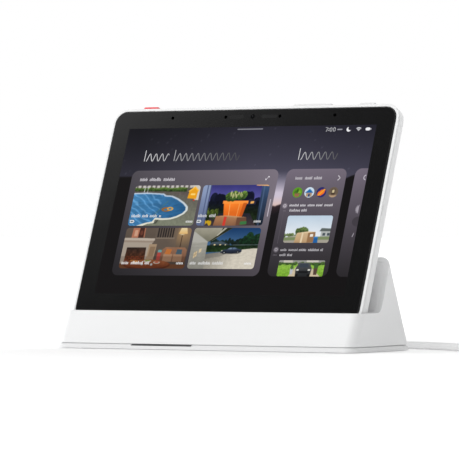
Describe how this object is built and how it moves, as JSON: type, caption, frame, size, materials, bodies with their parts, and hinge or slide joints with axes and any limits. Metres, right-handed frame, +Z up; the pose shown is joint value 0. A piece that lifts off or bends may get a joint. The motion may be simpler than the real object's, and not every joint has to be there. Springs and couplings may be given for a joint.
{
  "type": "smart home hub",
  "caption": "Smart home hub: a touch tablet leaning in a white wedge charging dock, with top buttons and a power lead coiled beside it.",
  "frame": {"origin": "on the table, at the middle of the dock's footprint", "axes": "+X along the width, to the right as seen from the front; +Y to the back; +Z up; the display faces -Y and leans back 21.6 degrees"},
  "size_m": [0.3072, 0.1186, 0.1465],
  "materials": {
    "white_shell": "fine satin moulded, very slightly textured",
    "white_button": "satin",
    "red_button": "satin translucent red",
    "black_glass": "polished, black ink border behind",
    "dark_plastic": "matte",
    "soft_pad": "matte with fine diagonal ribs",
    "foot_rubber": "matte",
    "smoked_window": "smoked, satin",
    "steel": "plain plated",
    "contact_gold": "plated, polished",
    "circuit_board": "solder mask",
    "flex_circuit": "satin film",
    "battery_wrap": "foil, matte",
    "lead_jacket": "smooth flexible jacket",
    "tie_strap": "woven strap"
  },
  "bodies": {
    "root": {"dock_housing": "white_shell", "rest_pad": "soft_pad", "base_plate": "white_shell", "light_window": "smoked_window", "light_board": "circuit_board", "rubber_foot_1": "foot_rubber", "rubber_foot_2": "foot_rubber", "rubber_foot_3": "foot_rubber", "rubber_foot_4": "foot_rubber", "base_screw_1": "steel", "base_screw_2": "steel", "base_screw_3": "steel", "base_screw_4": "steel", "slot_pad_left": "soft_pad", "slot_pad_right": "soft_pad", "pin_block": "dark_plastic", "pin_board": "circuit_board", "dock_magnet_left": "steel", "dock_magnet_right": "steel", "ballast_plate": "steel", "power_board": "circuit_board", "strain_relief": "lead_jacket", "cord": "lead_jacket", "cord_coil": "lead_jacket", "cord_tie": "tie_strap", "plug_body": "lead_jacket", "plug_shell": "steel"},
    "tablet": {"cover_glass": "black_glass", "bezel_ring": "white_shell", "display_panel": "dark_plastic", "midframe": "steel", "rear_cover": "white_shell", "battery": "battery_wrap", "main_board": "circuit_board", "speaker_left": "dark_plastic", "speaker_right": "dark_plastic", "camera_module": "dark_plastic", "microphone_board": "circuit_board", "wifi_antenna": "flex_circuit", "button_board": "flex_circuit", "contact_carrier": "dark_plastic", "contact_pad_1": "contact_gold", "contact_pad_2": "contact_gold", "contact_pad_3": "contact_gold", "contact_pad_4": "contact_gold", "tablet_magnet_left": "steel", "tablet_magnet_right": "steel", "tablet_screw_1": "steel", "tablet_screw_2": "steel", "tablet_screw_3": "steel", "tablet_screw_4": "steel"},
    "charging_pins": {"charging_pin_1": "contact_gold", "charging_pin_2": "contact_gold", "charging_pin_3": "contact_gold", "charging_pin_4": "contact_gold"},
    "sos_button": {"sos_button": "red_button"},
    "volume_rocker": {"volume_rocker": "white_button"},
    "power_button": {"power_button": "white_button"}
  },
  "joints": [
    {"name": "tablet_lift", "type": "slide", "parent": "root", "child": "tablet", "axis": [0, 0.3681, 0.9298], "range_m": [0, 0.05]},
    {"name": "pins_press", "type": "slide", "parent": "root", "child": "charging_pins", "axis": [0, -0.3681, -0.9298], "range_m": [0, 0.0007], "stiffness_N_per_m": 600, "springref_m": -0.0005},
    {"name": "sos_press", "type": "slide", "parent": "tablet", "child": "sos_button", "axis": [0, -0.3681, -0.9298], "range_m": [0, 0.00035], "stiffness_N_per_m": 900, "springref_m": -0.0004},
    {"name": "volume_rock", "type": "hinge", "parent": "tablet", "child": "volume_rocker", "pos_m": [0.0376, 0.03043, 0.14149], "axis": [0, -0.9298, 0.3681], "range_deg": [-1.2, 1.2], "stiffness_Nm_per_rad": 0.5},
    {"name": "power_press", "type": "slide", "parent": "tablet", "child": "power_button", "axis": [0, -0.3681, -0.9298], "range_m": [0, 0.00035], "stiffness_N_per_m": 900, "springref_m": -0.0004}
  ]
}
